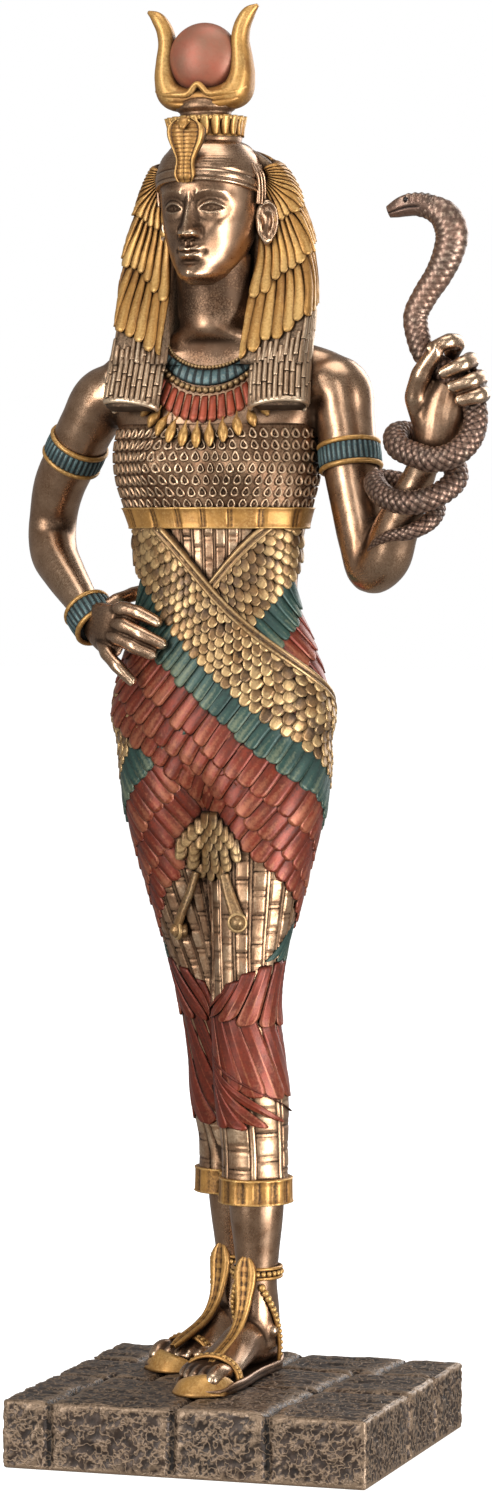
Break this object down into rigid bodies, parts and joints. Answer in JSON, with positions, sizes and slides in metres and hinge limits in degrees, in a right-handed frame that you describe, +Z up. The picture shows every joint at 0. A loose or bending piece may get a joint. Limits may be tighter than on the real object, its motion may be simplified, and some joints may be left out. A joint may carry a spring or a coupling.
{
  "type": "goddess statuette",
  "caption": "Standing goddess statuette in a winged feather gown, with a horned sun-disc crown and a cobra wound up her raised forearm, on a low paved plinth.",
  "frame": {"origin": "centre of the plinth's flat underside", "axes": "+Z up through the figure, -Y the way she faces, +X to her left"},
  "size_m": [0.1068, 0.07, 0.2901],
  "materials": {
    "bronze_resin": "cold-cast bronze look with a dark brown wash in the carving, rubbed highlights, and hand-painted gold, terracotta, teal and brown fields",
    "stone_grey_resin": "rough cast stone look, dark grey-brown with rubbed bronze highlights"
  },
  "bodies": {
    "root": {"goddess_figure": "bronze_resin", "paved_plinth": "stone_grey_resin"}
  },
  "joints": []
}
